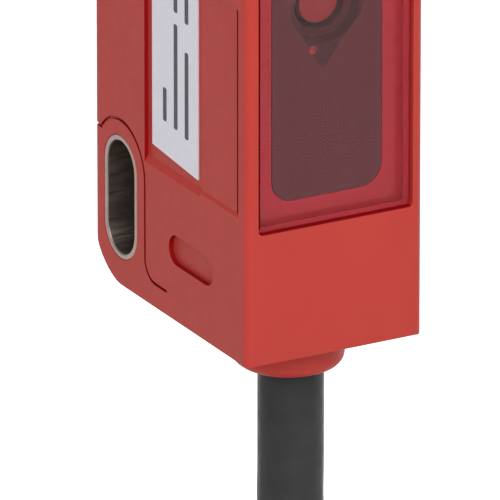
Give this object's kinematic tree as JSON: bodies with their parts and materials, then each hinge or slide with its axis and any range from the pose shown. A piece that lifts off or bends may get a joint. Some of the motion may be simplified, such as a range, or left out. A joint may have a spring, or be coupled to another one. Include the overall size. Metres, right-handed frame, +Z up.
{
  "type": "photoelectric sensor",
  "caption": "Miniature photoelectric sensor: slim red moulded housing with metal-lined mounting holes, tinted front window, screwdriver adjusters on top and a moulded-in cable below.",
  "frame": {"origin": "middle of the upper mounting hole, on the middle plane between the two mounting faces", "axes": "-Y is the way the beam leaves through the front window, +Z is up towards the adjusters, -X is the side with the label, and the mounting holes run along X"},
  "size_m": [0.0632, 0.0249, 0.1199],
  "materials": {
    "red_housing": "fine satin moulding",
    "tinted_window": "gloss, dark red",
    "label_film": "satin film",
    "sleeve_steel": "turned",
    "clear_cover": "gloss, milky",
    "clear_guide": "polished",
    "adjuster_white": "satin",
    "seal_rubber": "matt",
    "rotor_white": "satin",
    "contact_metal": "sprung, plated",
    "trimmer_blue": "satin",
    "black_plastic": "fine matt",
    "board_green": "lacquered",
    "green_lens": "diffuse",
    "yellow_lens": "diffuse",
    "optic_glass": "polished",
    "emitter_red": "gloss",
    "can_gold": "plated",
    "chip_black": "matt moulding",
    "film_grey": "gloss",
    "ceramic_tan": "matt",
    "tantalum_yellow": "satin moulding",
    "crystal_metal": "satin",
    "grommet_rubber": "matt",
    "cable_jacket": "satin",
    "core_brown": "satin",
    "core_white": "satin",
    "core_blue": "satin",
    "core_black": "satin",
    "solder": "bright",
    "tie_nylon": "satin"
  },
  "bodies": {
    "root": {"housing": "red_housing", "front_window": "tinted_window", "label": "label_film", "upper_mounting_sleeve": "sleeve_steel", "lower_mounting_sleeve": "sleeve_steel", "indicator_window": "clear_cover", "green_light_guide": "clear_guide", "yellow_light_guide": "clear_guide", "sensitivity_trimmer": "trimmer_blue", "mode_switch": "black_plastic", "control_board": "board_green", "green_led": "green_lens", "yellow_led": "yellow_lens", "board_link_header": "black_plastic", "board_link_pins": "contact_metal", "optics_carrier": "black_plastic", "lens_ring": "black_plastic", "collimator_lens": "optic_glass", "emitter_window": "emitter_red", "beam_splitter": "optic_glass", "laser_can": "can_gold", "laser_pins": "contact_metal", "receiver_board": "board_green", "receiver_chip": "chip_black", "analyser_film": "film_grey", "main_board": "board_green", "sensor_asic": "chip_black", "driver_ic": "chip_black", "output_transistors": "chip_black", "ceramic_capacitors": "ceramic_tan", "chip_resistors": "chip_black", "tantalum_capacitor": "tantalum_yellow", "protection_diode": "chip_black", "oscillator": "crystal_metal", "cable_grommet": "grommet_rubber", "crimp_ring": "crystal_metal", "cable_inlet": "cable_jacket", "brown_core": "core_brown", "white_core": "core_white", "blue_core": "core_blue", "black_core": "core_black", "solder_joints": "solder", "cable_lead": "cable_jacket", "cable_coil": "cable_jacket", "cable_ties": "tie_nylon", "cable_tail": "cable_jacket", "brown_end": "core_brown", "white_end": "core_white", "blue_end": "core_blue", "black_end": "core_black", "tinned_tips": "solder"},
    "sensitivity_adjuster": {"sensitivity_spindle": "adjuster_white", "sensitivity_seal": "seal_rubber", "sensitivity_rotor": "rotor_white", "sensitivity_wiper": "contact_metal"},
    "mode_selector": {"mode_spindle": "adjuster_white", "mode_seal": "seal_rubber", "mode_rotor": "rotor_white", "mode_wiper": "contact_metal"}
  },
  "joints": [
    {"name": "sensitivity_turn", "type": "hinge", "parent": "root", "child": "sensitivity_adjuster", "pos_m": [-0.002, -0.0058, 0.0034], "axis": [0, 0, 1], "range_deg": [-135, 135]},
    {"name": "mode_turn", "type": "hinge", "parent": "root", "child": "mode_selector", "pos_m": [0.002, -0.0058, 0.0034], "axis": [0, 0, 1], "range_deg": [0, 90]}
  ]
}
